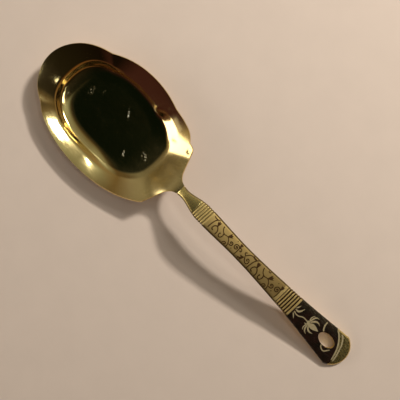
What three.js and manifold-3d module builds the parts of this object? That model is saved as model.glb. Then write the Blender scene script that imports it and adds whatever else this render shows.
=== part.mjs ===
// Rice serving spoon: pressed bowl with a tang, coined handle, braze seam and enamel field.
// Millimetres. +Z is up, +X runs from the handle's end to the bowl's tip, and the spoon lies on its back.
import * as THREE from 'three';
import Module from 'manifold-3d';

// Bowl in plan, measured from the step across the neck; right and left as seen with the tip away
const BOWL_LENGTH = 105.8;
const BOWL_WIDTH = 66.7;
const OVAL_OVERRUN = 0.4;
const SHOULDER_SETBACK = 11.2;
const SHOULDER_LINE_END = new THREE.Vector2(6, 7.4);
const STEP_WIDTH = 6.3;
const NECK_FILLET_PULL = new THREE.Vector2(0.6, 0.2);
const NECK_WALL = 24.9;
const TIP_WALL = 17.5;
const LEFT_WALL = 12.25;
const RIGHT_WALL = 10.45;
const FLOOR_SQUARENESS = 2.7;

// Bowl in height
const SHEET = 1;
const SIDE_HEIGHT = 9.6;
const TIP_HEIGHT = 12;
const FLOOR_DISH = 1.1;
const PAD_SHARE = 0.72;

// Profile of the wall from the floor's edge (0) to the rim (1): slopes, and the shares where they change
const FOOT_SLOPE = 0.25;
const FOOT_SHARE = 0.2;
const WALL_SLOPE = 0.85;
const LIP_START = 0.28;
const LIP_FULL = 0.48;
const LIP_TIP = 0.42;
const LIP_LEFT = 0.48;
const LIP_RIGHT = 0.34;
const LIP_FLARE = 0.1;
const RAMP_FOOT = 0.15;
const RAMP_CREST = 0.62;
const RAMP_EASE = 0.75;
const RAMP_FLATNESS = 0.75;

// Directions from the floor's centre, in degrees from the tip, between which one profile turns into the next
const LOBE_TURN = [10, 70];
const RAMP_LEFT = [112, 145];
const RAMP_RIGHT = [138, 164];
const RAMP_NECK = [160, 174];

// Creases between the lobes: angle from the tip, spread, and how far the rim and the floor's edge step in
const CREASE_SOFTNESS = 1.6;
const RIM_STEP = 5;
const CREASES_RIGHT = [[55.3, 26, 2, 1.2], [110.5, 26, 1.6, 1.2], [136, 9, 1.7, 0]];
const CREASES_LEFT = [[43, 15, 0.9, 0.1], [110.5, 26, 0.4, 0]];

// Handle lengths, from the step to the end
const NECK_LENGTH = 14.1;
const BEAD_COUNT = 5;
const BEAD_PITCH = 1.49;
const BEAD_DEPTH = 0.4;
const SHAFT_LENGTH = 59.1;
const RIDGE_COUNT = 6;
const RIDGE_PITCH = 1.83;
const RIDGE_DEPTH = 0.35;
const RIDGE_TOP = 0.6;
const RIDGE_FLANK = 0.2;
const PADDLE_LENGTH = 43.5;

// Handle widths and thicknesses
const NECK_WIDTH = 5.5;
const NECK_SHARE = 0.25;
const BAND_WIDTH = 10.5;
const WAIST_WIDTH = 9.1;
const WAIST_SHARE = 0.42;
const REAR_BAND_WIDTH = 12.8;
const END_WIDTH = 20.8;
const END_RADIUS = 11;
const END_SHARE = 0.7;
const ROUND_CROWDING = 1.2;
const NOSE_THICK = 1.75;
const NECK_THICK = 2.9;
const NECK_THICK_SHARE = 0.4;
const BAND_THICK = 3.2;
const WAIST_THICK = 2.7;
const WAIST_THICK_SHARE = 0.26;
const END_THICK = 2.1;
const BEVEL_WIDTH = 0.8;
const BEVEL_DROP = 1.15;
const BEVEL_MOST = 0.4;
const END_FALL = 0.6;
const LEAST_HALF_WIDTH = 1.2;
const CROWN = 0.3;
const UNDER_CHAMFER = 0.4;

// Arch of the handle's underside
const NECK_HEIGHT = 16.4;
const CREST_HEIGHT = 21;
const CREST_SETBACK = 24;
const NECK_FALL = 0.3;
const END_RISE = 0.15;

// Hanging hole, enamel field, and the joint under the neck
const HOLE_LENGTH = 12.4;
const HOLE_WIDTH = 6.9;
const HOLE_SETBACK = 16.4;
const ENAMEL = 0.3;
const FIELD_RIGHT_SETBACK = 15.8;
const FIELD_LEFT_SETBACK = 5.2;
const FIELD_RIGHT_SHARE = 0.44;
const FIELD_MIDDLE = new THREE.Vector2(2, 0.22);
const FIELD_LEFT_SHARE = 0.36;
const HOLE_COLLAR = 0.5;
const TANG_WIDTH = 3.6;
const TANG_LENGTH = 21;
const TANG_INSET = 0.08;
const TANG_LAP = 1.4;
const SEAM_WIDTH = 0.9;
const SEAM_DEPTH = 0.35;
const SEAM_CLEAR = 0.05;
const SEAM_SETBACK = 1.5;
const GAP = 0.2;

const HANDLE_LENGTH = NECK_LENGTH + BEAD_COUNT * BEAD_PITCH + SHAFT_LENGTH
  + RIDGE_COUNT * RIDGE_PITCH + PADDLE_LENGTH;
const ovalLength = BOWL_LENGTH + OVAL_OVERRUN;
const floorLength = BOWL_LENGTH - NECK_WALL - TIP_WALL;
const tipX = (HANDLE_LENGTH + BOWL_LENGTH) / 2;
const stepX = tipX - BOWL_LENGTH;
const endX = stepX - HANDLE_LENGTH;
const beadsX = stepX - NECK_LENGTH;
const shaftX = beadsX - BEAD_COUNT * BEAD_PITCH;
const ridgesX = shaftX - SHAFT_LENGTH;
const paddleX = ridgesX - RIDGE_COUNT * RIDGE_PITCH;
const roundX = endX + END_SHARE * END_RADIUS;
const holeX = endX + HOLE_SETBACK;

const wasm = await Module();
wasm.setup();

// A closed solid from points and triangles, turned to face outwards.
function toManifold(points, faces) {
  let volume = 0;
  for (const [a, b, c] of faces) {
    volume += points[a].dot(new THREE.Vector3().crossVectors(points[b], points[c]));
  }
  const facing = volume < 0 ? faces.map(([a, b, c]) => [a, c, b]) : faces;
  return new wasm.Manifold(new wasm.Mesh({
    numProp: 3,
    vertProperties: new Float32Array(points.flatMap((p) => p.toArray())),
    triVerts: new Uint32Array(facing.flat()),
  }));
}

// A solid lofted through stations; each has a flat outline and a way to place its points.
function loft(stations) {
  const count = stations[0].outline.length;
  const points = stations.flatMap((s) => s.outline.map((q) => s.place(q.x, q.y)));
  const faces = [];
  for (let i = 0; i + 1 < stations.length; i += 1) {
    for (let j = 0; j < count; j += 1) {
      const a = i * count + j;
      const b = i * count + ((j + 1) % count);
      faces.push([a, b, b + count], [a, b + count, a + count]);
    }
  }
  const last = (stations.length - 1) * count;
  for (const [a, b, c] of capFaces(stations[0].outline)) {
    faces.push([a, c, b]);
  }
  for (const [a, b, c] of capFaces(stations.at(-1).outline)) {
    faces.push([last + a, last + b, last + c]);
  }
  return toManifold(points, faces);
}

// Triangles that fill a flat outline, wound the way the outline runs.
function capFaces(outline) {
  const { area, triangulateShape } = THREE.ShapeUtils;
  const turn = Math.sign(area(outline));
  return triangulateShape(outline, []).map(([a, b, c]) => {
    const same = Math.sign(area([outline[a], outline[b], outline[c]])) === turn;
    return same ? [a, b, c] : [a, c, b];
  });
}

// An upright prism of a plan shape.
function prism(shape, bottom, top, segments) {
  const body = new THREE.ExtrudeGeometry(shape, {
    depth: top - bottom, bevelEnabled: false, curveSegments: segments,
  });
  body.translate(0, 0, bottom);
  return fromGeometry(body);
}

// Welds the corners of a three.js geometry and makes a solid of it.
function fromGeometry(geometry) {
  const loose = geometry.index ? geometry.toNonIndexed() : geometry;
  const at = loose.getAttribute('position');
  const seen = new Map();
  const points = [];
  const corners = [];
  for (let i = 0; i < at.count; i += 1) {
    const p = new THREE.Vector3().fromBufferAttribute(at, i);
    const key = p.toArray().map((v) => Math.round(v * 1e4)).join();
    if (!seen.has(key)) {
      seen.set(key, points.length);
      points.push(p);
    }
    corners.push(seen.get(key));
  }
  const faces = [];
  for (let i = 0; i < corners.length; i += 3) {
    const [a, b, c] = corners.slice(i, i + 3);
    if (a !== b && b !== c && c !== a) {
      faces.push([a, b, c]);
    }
  }
  return toManifold(points, faces);
}

// A smooth run of values through knots, without overshoot between them.
function through(knots) {
  const rows = knots.slice().sort((a, b) => a[0] - b[0]);
  const rise = rows.slice(1).map((k, i) => (k[1] - rows[i][1]) / (k[0] - rows[i][0]));
  const slope = rows.map((k, i) => {
    const [before, after] = [rise[Math.max(0, i - 1)], rise[Math.min(i, rise.length - 1)]];
    return before * after <= 0 ? 0 : (2 * before * after) / (before + after);
  });
  return (x) => {
    const i = Math.max(0, rows.findLastIndex((k, n) => k[0] <= x && n < rows.length - 1));
    const span = rows[i + 1][0] - rows[i][0];
    const t = THREE.MathUtils.clamp((x - rows[i][0]) / span, 0, 1);
    const ease = t * t * (3 - 2 * t);
    return rows[i][1] + (rows[i + 1][1] - rows[i][1]) * ease
      + span * (slope[i] * t * (1 - t) ** 2 - slope[i + 1] * t * t * (1 - t));
  };
}

// Height and slope of the handle's underside: one rise from the end to the crest, one fall to the step.
function arch(x) {
  const crestX = stepX - CREST_SETBACK;
  if (x >= stepX) {
    return { z: NECK_HEIGHT - NECK_FALL * (x - stepX), slope: -NECK_FALL };
  }
  const low = x < crestX;
  const [x0, x1] = low ? [endX, crestX] : [crestX, stepX];
  const [z0, z1] = low ? [0, CREST_HEIGHT] : [CREST_HEIGHT, NECK_HEIGHT];
  const [m0, m1] = low ? [END_RISE, 0] : [0, -NECK_FALL];
  const span = x1 - x0;
  const t = (x - x0) / span;
  const z = z0 + (z1 - z0) * t * t * (3 - 2 * t) + span * (m0 * t * (1 - t) ** 2 - m1 * t * t * (1 - t));
  const slope = (6 * (z1 - z0) * t * (1 - t)) / span
    + m0 * (1 - t) * (1 - 3 * t) + m1 * t * (3 * t - 2);
  return { z, slope };
}

// Places a point of a handle section: across, and square to the underside.
function onHandle(x) {
  const { z, slope } = arch(x);
  const run = Math.hypot(1, slope);
  return (y, h) => new THREE.Vector3(x - (slope * h) / run, y, z + h / run);
}

const halfWidthRun = through([
  [stepX, STEP_WIDTH / 2],
  [stepX - NECK_SHARE * NECK_LENGTH, NECK_WIDTH / 2],
  [(beadsX + shaftX) / 2, BAND_WIDTH / 2],
  [shaftX - WAIST_SHARE * SHAFT_LENGTH, WAIST_WIDTH / 2],
  [(ridgesX + paddleX) / 2, REAR_BAND_WIDTH / 2],
  [roundX, END_WIDTH / 2],
]);

const thickRun = through([
  [stepX, NOSE_THICK],
  [stepX - NECK_THICK_SHARE * NECK_LENGTH, NECK_THICK],
  [(beadsX + shaftX) / 2, BAND_THICK],
  [shaftX - WAIST_THICK_SHARE * SHAFT_LENGTH, WAIST_THICK],
  [endX, END_THICK],
]);

// The end's half round takes over from the straight flare where it is the narrower.
function halfWidth(x) {
  const out = endX + END_RADIUS - x;
  const round = out > 0 ? Math.sqrt(Math.max(0, END_RADIUS ** 2 - out ** 2)) : Infinity;
  return Math.min(halfWidthRun(x), round);
}

// Groove depth at x: round beads in front, square ridges behind.
function groove(x) {
  if (x <= beadsX + BEAD_PITCH / 2 && x >= shaftX - BEAD_PITCH / 2) {
    return BEAD_DEPTH * (1 - Math.abs(Math.sin((Math.PI * (beadsX - x)) / BEAD_PITCH)));
  }
  if (x <= ridgesX && x >= paddleX + RIDGE_PITCH / 2) {
    const fromTop = Math.abs((((ridgesX - x) / RIDGE_PITCH) % 1) - 0.5) * RIDGE_PITCH;
    return RIDGE_DEPTH * THREE.MathUtils.clamp((fromTop - RIDGE_TOP / 2) / RIDGE_FLANK, 0, 1);
  }
  return 0;
}

// The upper line of a handle section from right to left: side edge, bevel and crowned top.
function topLine(x, dip) {
  const w = Math.max(halfWidth(x), LEAST_HALF_WIDTH) - dip;
  const toEnd = THREE.MathUtils.clamp(1 - (x - endX) / BEVEL_WIDTH, 0, 1);
  const high = thickRun(x) - dip - END_FALL * BEVEL_DROP * toEnd ** 2;
  const flat = w - Math.min(BEVEL_WIDTH, BEVEL_MOST * w);
  const drop = BEVEL_DROP * (1 - (1 - END_FALL) * toEnd);
  const crown = [1, 0.6].map((share) => [share * flat, share ** 2 * CROWN]);
  const right = [[w, drop], ...crown].map(([y, d]) => new THREE.Vector2(-y, high - d));
  const left = right.map((q) => new THREE.Vector2(-q.x, q.y)).reverse();
  return [...right, new THREE.Vector2(0, high), ...left];
}

function handleSection(x) {
  const top = topLine(x, groove(x));
  const w = top.at(-1).x;
  const under = [[w, UNDER_CHAMFER], [w - UNDER_CHAMFER, 0], [UNDER_CHAMFER - w, 0], [-w, UNDER_CHAMFER]];
  return { place: onHandle(x), outline: [...top, ...under.map(([y, h]) => new THREE.Vector2(y, h))] };
}

// Stations: even steps on plain stretches, closer ones on beads, ridges and the round end.
function between(from, to, steps) {
  return Array.from({ length: steps }, (_, i) => from + ((to - from) * i) / steps);
}

const nosePoint = stepX - (SHEET * NECK_FALL) / Math.hypot(1, NECK_FALL) - GAP;
const ridgeCuts = [
  0,
  (RIDGE_PITCH - RIDGE_TOP) / 2 - RIDGE_FLANK,
  (RIDGE_PITCH - RIDGE_TOP) / 2,
  (RIDGE_PITCH + RIDGE_TOP) / 2,
  (RIDGE_PITCH + RIDGE_TOP) / 2 + RIDGE_FLANK,
];
const roundStations = between(0, Math.PI / 2, 9).map((turn) => (1 - Math.sin(turn)) ** ROUND_CROWDING);
const paddleStations = [
  ...between(paddleX, roundX, 12),
  ...roundStations.map((share) => endX + (roundX - endX) * share),
  endX,
];
const handleStations = [
  ...between(nosePoint, beadsX + BEAD_PITCH / 2, 12),
  ...between(beadsX + BEAD_PITCH / 2, shaftX - BEAD_PITCH / 2, 4 * (BEAD_COUNT + 1)),
  ...between(shaftX - BEAD_PITCH / 2, ridgesX + RIDGE_FLANK, 20),
  ridgesX + RIDGE_FLANK,
  ...between(ridgesX, paddleX, RIDGE_COUNT).flatMap((start) => ridgeCuts.map((cut) => start - cut)),
  ...paddleStations,
];

const handleBlank = loft(handleStations.map(handleSection));

// Bar along the handle's underside with a half-round end, for the tang and the pocket that takes it.
function tangBar(halfW, low, high, fromX, toX) {
  const roundPart = between(0, 1, 8).map((t) => toX + halfW * (1 - t) ** 2);
  const stations = [...between(fromX, toX + halfW, 10), ...roundPart];
  return loft(stations.map((x) => {
    const out = Math.max(0, toX + halfW - x);
    const w = Math.max(GAP, Math.sqrt(Math.max(0, halfW ** 2 - out ** 2)));
    const corners = [[-w, low], [w, low], [w, high], [-w, high]];
    return { place: onHandle(x), outline: corners.map(([y, h]) => new THREE.Vector2(y, h)) };
  }));
}

const tangEnd = stepX - TANG_LENGTH;
const tangTop = SHEET - TANG_INSET;
const tang = tangBar(TANG_WIDTH / 2, TANG_INSET, tangTop, stepX + TANG_LAP, tangEnd);
const pocket = tangBar(TANG_WIDTH / 2 + GAP, -SHEET, tangTop + GAP, stepX + 2 * TANG_LAP, tangEnd - GAP);

// The hole runs square to the handle, so its cutter is tilted with the underside.
function holeCutter(margin) {
  const oval = new THREE.Shape();
  oval.absellipse(0, 0, HOLE_LENGTH / 2 + margin, HOLE_WIDTH / 2 + margin, 0, 2 * Math.PI);
  const body = new THREE.ExtrudeGeometry(oval, {
    depth: 2 * HOLE_LENGTH, bevelEnabled: false, curveSegments: 20,
  });
  body.translate(0, 0, -HOLE_LENGTH);
  body.rotateY(-Math.atan(arch(holeX).slope));
  body.translate(holeX, 0, arch(holeX).z);
  return fromGeometry(body);
}

// Everything above a depth below the handle's upper surface, over the enamel field only.
function aboveTop(depth, margin) {
  const space = loft(paddleStations.map((x) => {
    const line = topLine(x, 0).map((q) => new THREE.Vector2(q.x, q.y - depth));
    const reach = line.at(-1).x + END_THICK;
    const side = line.at(-1).y;
    const over = side + 2 * END_THICK;
    const ends = [[reach, side], [reach, over], [-reach, over], [-reach, side]];
    return { place: onHandle(x), outline: [...line, ...ends.map(([y, h]) => new THREE.Vector2(y, h))] };
  }));
  const field = new THREE.Shape();
  const reach = END_WIDTH;
  const front = paddleX - GAP + margin;
  const right = endX + FIELD_RIGHT_SETBACK - margin;
  const left = endX + FIELD_LEFT_SETBACK - margin;
  field.moveTo(front, -reach);
  field.lineTo(right + END_WIDTH - FIELD_RIGHT_SETBACK, -reach);
  field.lineTo(right, -FIELD_RIGHT_SHARE * END_WIDTH);
  field.quadraticCurveTo(
    left + FIELD_MIDDLE.x,
    -FIELD_MIDDLE.y * END_WIDTH,
    left,
    FIELD_LEFT_SHARE * END_WIDTH,
  );
  field.lineTo(left, reach);
  field.lineTo(front, reach);
  return space.intersect(prism(field, -CREST_HEIGHT, 2 * CREST_HEIGHT, 14));
}

const recess = aboveTop(ENAMEL + GAP, GAP);
const hole = holeCutter(0);
const handleBody = handleBlank.subtract(pocket).subtract(recess).subtract(hole);
const enamelBody = handleBlank.intersect(aboveTop(ENAMEL, 0)).subtract(holeCutter(HOLE_COLLAR));

// Lobed rim of one side of the bowl, tip to neck. Side is -1 on the right, seen with the tip away.
const ovalX = tipX - ovalLength / 2;
const floorX = stepX + NECK_WALL + floorLength / 2;
const creases = { '-1': CREASES_RIGHT, 1: CREASES_LEFT };
const shoulderAngle = THREE.MathUtils.radToDeg(
  Math.acos((stepX + SHOULDER_SETBACK - ovalX) / (ovalLength / 2)),
);

// How far the rim and the floor's edge step in at an angle.
function dents(angle, side) {
  let [rim, floor] = [0, 0];
  for (const [place, spread, rimDepth, floorDepth] of creases[side]) {
    const away = Math.hypot(angle - place, CREASE_SOFTNESS) - CREASE_SOFTNESS;
    const near = Math.max(0, 1 - away / spread) ** 2;
    rim += rimDepth * near;
    floor += floorDepth * near;
  }
  return { rim, floor };
}

function rimPoint(angle, side) {
  const turn = THREE.MathUtils.degToRad(angle);
  const [a, b] = [ovalLength / 2, BOWL_WIDTH / 2];
  const out = new THREE.Vector2(Math.cos(turn) / a, Math.sin(turn) / b);
  out.setLength(dents(angle, side).rim);
  return new THREE.Vector2(ovalX + a * Math.cos(turn) - out.x, side * (b * Math.sin(turn) - out.y));
}

// The lobed oval as seen from the floor's centre: direction in degrees from the tip, reach, floor dent.
function fromFloor(at) {
  const away = new THREE.Vector2(at.x - floorX, at.y);
  const direction = THREE.MathUtils.radToDeg(Math.atan2(Math.abs(away.y), away.x));
  return { direction, reach: away.length(), away: away.normalize() };
}

function lobeTable(side) {
  return Array.from({ length: 361 }, (_, i) => {
    const { direction, reach } = fromFloor(rimPoint(i / 2, side));
    return { direction, reach, dent: dents(i / 2, side).floor };
  });
}

const lobes = { '-1': lobeTable(-1), 1: lobeTable(1) };

function lobeAt(direction, side) {
  const rows = lobes[side];
  const i = Math.max(0, rows.findLastIndex((row, n) => row.direction <= direction && n < rows.length - 1));
  const span = rows[i + 1].direction - rows[i].direction;
  const t = THREE.MathUtils.clamp((direction - rows[i].direction) / span, 0, 1);
  return {
    reach: THREE.MathUtils.lerp(rows[i].reach, rows[i + 1].reach, t),
    dent: THREE.MathUtils.lerp(rows[i].dent, rows[i + 1].dent, t),
  };
}

// Cut edge of one side from tip to step, with closer points at the creases.
function rimSide(side) {
  const last = shoulderAngle - CREASE_SOFTNESS;
  const places = creases[side].map(([place]) => place).filter((place) => place < last);
  const stops = [0, ...places, shoulderAngle];
  const angles = places.concat(shoulderAngle).flatMap((stop, i) => {
    const steps = Math.ceil((stop - stops[i]) / RIM_STEP) + 1;
    return between(0, 1, steps).map((t) => stops[i] + ((stop - stops[i]) * (1 - Math.cos(Math.PI * t))) / 2);
  });
  const corner = rimPoint(shoulderAngle, side);
  const bend = new THREE.Vector2(stepX + SHOULDER_LINE_END.x, side * SHOULDER_LINE_END.y);
  const step = new THREE.Vector2(stepX, (side * STEP_WIDTH) / 2);
  const turn = new THREE.Vector2(
    stepX + NECK_FILLET_PULL.x * SHOULDER_LINE_END.x,
    side * (STEP_WIDTH / 2 + NECK_FILLET_PULL.y),
  );
  return [
    ...angles.map((angle) => rimPoint(angle, side)),
    ...new THREE.LineCurve(corner, bend).getPoints(5).slice(0, -1),
    ...new THREE.QuadraticBezierCurve(bend, turn, step).getPoints(6),
    new THREE.Vector2(stepX, (side * STEP_WIDTH) / 6),
  ];
}

// Rim height along the bowl: level at the sides, a little up at the tip, well up at the neck.
const neckRim = NECK_HEIGHT + SHEET * Math.hypot(1, NECK_FALL);

function rimHeight(x) {
  if (x > ovalX) {
    return SIDE_HEIGHT + (TIP_HEIGHT - SIDE_HEIGHT) * ((x - ovalX) / (tipX - ovalX)) ** 2;
  }
  return SIDE_HEIGHT + (neckRim - SIDE_HEIGHT) * ((ovalX - x) / (ovalX - stepX)) ** 4;
}

// The share of a whole rise that is reached along a run with these slopes.
function risen(slope) {
  const steps = 200;
  const rise = [0];
  for (let i = 0; i < steps; i += 1) {
    rise.push(rise[i] + slope((i + 0.5) / steps));
  }
  return (q) => {
    const place = THREE.MathUtils.clamp(q, 0, 1) * steps;
    const below = Math.min(Math.floor(place), steps - 1);
    return THREE.MathUtils.lerp(rise[below], rise[below + 1], place - below) / rise[steps];
  };
}

// Wall of a lobe: a foot fillet, a steep wall and a lip that flattens towards its edge.
function lobeRise(lip) {
  const { smoothstep } = THREE.MathUtils;
  return risen((q) => {
    const steep = FOOT_SLOPE + (WALL_SLOPE - FOOT_SLOPE) * smoothstep(q, 0, FOOT_SHARE);
    const toLip = (lip + LIP_FLARE - WALL_SLOPE) * smoothstep(q, LIP_START, LIP_FULL);
    return steep + toLip - 2 * LIP_FLARE * Math.max(0, (q - LIP_FULL) / (1 - LIP_FULL));
  });
}

function rampSlope(q) {
  return FOOT_SLOPE + (1 - FOOT_SLOPE) * THREE.MathUtils.smoothstep(q, 0, RAMP_FOOT);
}

const tipRise = lobeRise(LIP_TIP);
const sideRise = { '-1': lobeRise(LIP_RIGHT), 1: lobeRise(LIP_LEFT) };
const rampRise = risen(rampSlope);
const neckRise = risen((q) => rampSlope(q) - RAMP_EASE * THREE.MathUtils.smoothstep(q, RAMP_CREST, 1));

// The ramp up to the neck takes over from the lobes behind the shoulders.
function rampShare(direction, side) {
  return THREE.MathUtils.smoothstep(direction, ...(side < 0 ? RAMP_RIGHT : RAMP_LEFT));
}

function wallShare(q, direction, side) {
  const { lerp, smoothstep } = THREE.MathUtils;
  const lobe = lerp(tipRise(q), sideRise[side](q), smoothstep(direction, ...LOBE_TURN));
  const ramp = lerp(rampRise(q), neckRise(q), smoothstep(direction, ...RAMP_NECK));
  return lerp(lobe, ramp, rampShare(direction, side));
}

// From the floor's centre to its edge, a squarish oval.
function floorReach(away, side) {
  const half = BOWL_WIDTH / 2 - (side < 0 ? RIGHT_WALL : LEFT_WALL);
  const along = Math.abs((2 * away.x) / floorLength) ** FLOOR_SQUARENESS;
  const across = Math.abs(away.y / half) ** FLOOR_SQUARENESS;
  return (along + across) ** (-1 / FLOOR_SQUARENESS);
}

const floorRings = [0, 0.3, 0.6, 0.85, 1];
const wallRings = [0.05, 0.1, 0.15, 0.2, 0.28, 0.34, 0.41, 0.48, 0.6, 0.74, 0.87, 1];

// One ray of the bowl's upper surface, from the pad's edge out to the cut edge.
function bowlRay(at, side) {
  const { direction, reach: far, away } = fromFloor(at);
  const { reach, dent } = lobeAt(direction, side);
  const edge = floorReach(away, side) - dent;
  const cut = (far - edge) / (reach - edge);
  const high = rimHeight(floorX + away.x * reach);
  const dish = FLOOR_DISH * (1 - RAMP_FLATNESS * rampShare(direction, side));
  const foot = SHEET + dish;
  const point = (r, z) => new THREE.Vector3(floorX + away.x * r, away.y * r, z);
  return [
    ...floorRings.map((s) => point(edge * THREE.MathUtils.lerp(PAD_SHARE, 1, s), SHEET + dish * s ** 2)),
    ...wallRings.map((ring) => {
      const q = ring * cut;
      return point(edge + (reach - edge) * q, foot + (high - foot) * wallShare(q, direction, side));
    }),
  ];
}

// The sheet: its upper surface as a net of rays, the lower surface square below it, and the cut edge.
function bowlSheet() {
  const right = rimSide(-1).map((at) => bowlRay(at, -1));
  const left = rimSide(1).slice(1).map((at) => bowlRay(at, 1));
  const rays = [...right, ...left.reverse()];
  const deep = rays[0].length;
  const upper = [new THREE.Vector3(floorX, 0, SHEET), ...rays.flat()];
  const faces = [];
  rays.forEach((_, i) => {
    const a = 1 + i * deep;
    const b = 1 + ((i + 1) % rays.length) * deep;
    faces.push([0, b, a]);
    for (let j = 0; j + 1 < deep; j += 1) {
      faces.push([a + j, b + j, b + j + 1], [a + j, b + j + 1, a + j + 1]);
    }
  });
  const skin = new THREE.BufferGeometry().setFromPoints(upper);
  skin.setIndex(faces.flat());
  skin.computeVertexNormals();
  const normals = skin.getAttribute('normal');
  const lower = upper.map((p, i) => {
    const n = new THREE.Vector3().fromBufferAttribute(normals, i);
    const flat = i === 0 || (i - 1) % deep === 0;
    n.multiplyScalar(Math.sign(n.z));
    return p.clone().addScaledVector(flat ? new THREE.Vector3(0, 0, 1) : n, -SHEET);
  });
  const count = upper.length;
  const under = faces.map(([a, b, c]) => [a + count, c + count, b + count]);
  const edge = rays.flatMap((_, i) => {
    const a = (i + 1) * deep;
    const b = (((i + 1) % rays.length) + 1) * deep;
    return [[a, b, b + count], [a, b + count, a + count]];
  });
  return toManifold([...upper, ...lower], [...faces, ...under, ...edge]);
}

const bowlBody = bowlSheet().add(tang);

// The braze: a low half-round bead that follows the tang's edge round under the handle.
function seam() {
  const halfW = TANG_WIDTH / 2 + GAP / 2;
  const startX = nosePoint - SEAM_SETBACK;
  const turnX = tangEnd + halfW;
  const rightLine = new THREE.LineCurve(new THREE.Vector2(startX, -halfW), new THREE.Vector2(turnX, -halfW));
  const leftLine = new THREE.LineCurve(new THREE.Vector2(turnX, halfW), new THREE.Vector2(startX, halfW));
  const round = new THREE.EllipseCurve(turnX, 0, halfW, halfW, -Math.PI / 2, -1.5 * Math.PI, true);
  const points = [
    ...rightLine.getPoints(10).slice(0, -1),
    ...round.getPoints(12).slice(0, -1),
    ...leftLine.getPoints(10),
  ];
  const section = [0, 0.25, 0.5, 0.75, 1].map((t) => new THREE.Vector2(
    (SEAM_WIDTH / 2) * Math.cos(Math.PI * t), -SEAM_CLEAR - SEAM_DEPTH * Math.sin(Math.PI * t),
  ));
  const stations = points.map((p, i) => {
    const before = points[Math.max(0, i - 1)];
    const after = points[Math.min(points.length - 1, i + 1)];
    const side = new THREE.Vector2(after.y - before.y, before.x - after.x).normalize();
    const place = (across, h) => onHandle(p.x + side.x * across)(p.y + side.y * across, h);
    return { place, outline: section };
  });
  return loft(stations);
}

function piece(name, body, material) {
  const mesh = body.getMesh();
  const geometry = new THREE.BufferGeometry();
  geometry.setAttribute('position', new THREE.BufferAttribute(mesh.vertProperties, 3));
  geometry.setIndex(new THREE.BufferAttribute(mesh.triVerts, 1));
  geometry.computeVertexNormals();
  const part = new THREE.Mesh(geometry, material);
  part.name = name;
  return part;
}

const brass = { color: 0xb8964a, metalness: 1, roughness: 0.22 };
const filler = { color: 0xc2ad7c, metalness: 1, roughness: 0.4 };
const enamel = { color: 0x17130d, metalness: 0, roughness: 0.3 };

const spoon = new THREE.Group();
spoon.name = 'rice_serving_spoon';
spoon.add(piece('bowl', bowlBody, new THREE.MeshStandardMaterial(brass)));
spoon.add(piece('handle', handleBody, new THREE.MeshStandardMaterial(brass)));
spoon.add(piece('neck_braze', seam(), new THREE.MeshStandardMaterial(filler)));
spoon.add(piece('end_enamel', enamelBody, new THREE.MeshStandardMaterial(enamel)));

export default spoon;
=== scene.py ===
# Rice serving spoon: fine surfaces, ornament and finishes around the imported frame.
# The spoon's sizes are in millimetres and turn into metres where a mesh is made; the stage is in metres.
import math

import bpy
import numpy as np
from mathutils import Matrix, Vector
from mathutils.geometry import delaunay_2d_cdt
from mathutils.kdtree import KDTree


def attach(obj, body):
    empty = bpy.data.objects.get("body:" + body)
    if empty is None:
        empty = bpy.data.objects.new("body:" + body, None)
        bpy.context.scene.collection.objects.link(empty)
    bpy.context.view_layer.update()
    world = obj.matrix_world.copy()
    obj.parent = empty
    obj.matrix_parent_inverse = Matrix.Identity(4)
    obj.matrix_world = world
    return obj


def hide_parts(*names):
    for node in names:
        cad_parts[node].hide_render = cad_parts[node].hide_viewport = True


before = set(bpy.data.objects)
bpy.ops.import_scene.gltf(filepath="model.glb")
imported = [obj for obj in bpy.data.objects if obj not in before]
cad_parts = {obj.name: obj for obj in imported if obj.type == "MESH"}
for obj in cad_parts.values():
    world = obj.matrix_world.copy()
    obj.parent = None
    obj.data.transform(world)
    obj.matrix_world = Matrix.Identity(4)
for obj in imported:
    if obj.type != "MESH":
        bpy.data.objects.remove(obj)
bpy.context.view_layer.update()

MM = 0.001

# Bowl in plan
BOWL_LENGTH = 105.8
BOWL_WIDTH = 66.7
OVAL_OVERRUN = 0.4
SHOULDER_SETBACK = 11.2
SHOULDER_LINE_END = (6, 7.4)
SHOULDER_FILLET_PULL = (0.6, 0.2)
STEP_WIDTH = 6.3
NECK_WALL = 24.9
TIP_WALL = 17.5
LEFT_WALL = 12.25
RIGHT_WALL = 10.45
FLOOR_SQUARENESS = 2.7

# Bowl in height
SHEET = 1
SIDE_HEIGHT = 9.2
TIP_HEIGHT = 12
FLOOR_DISH = 1.1
PAD_SHARE = 0.72

# Profiles of the bowl's wall, finer than those of the solid it replaces. A lobe's values are the share of the
# run in the foot fillet, the wall's slope, where the lip starts and is full, and the lip's slope and flare.
FOOT_SLOPE = 0.25
PROFILE_TIP = (0.14, 1.3, 0.2, 0.36, 0.46, 0.06)
PROFILE_LEFT = (0.12, 0.9, 0.22, 0.44, 0.38, 0.08)
PROFILE_RIGHT = (0.04, 3.2, 0.06, 0.15, 0.5, 0.05)
PROFILE_SHOULDER = (0.12, 0.78, 0.4, 0.56, 0.46, 0.06)
RAMP_START = 0.08
RAMP_FOOT = 0.32
RAMP_CREST = 0.62
RAMP_EASE = 0.75
RAMP_FLATNESS = 0.75

# Directions from the floor's centre, in degrees from the tip, between which one profile turns into the next
RAMP_LEFT = (96, 142)
RAMP_RIGHT = (138, 164)
RAMP_NECK = (160, 174)
LOBE_TURN = (10, 70)
SHOULDER_TURN = (119, 131)

# Creases between the lobes: angle from the tip, spread, and how far the rim and the floor's edge step in
CREASE_SOFTNESS = 1.6
CREASES_RIGHT = ((55.3, 26, 2, 1.2), (110.5, 26, 1.6, 1.2), (136, 9, 1.7, 0))
CREASES_LEFT = ((43, 15, 0.9, 0.1),)

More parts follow.
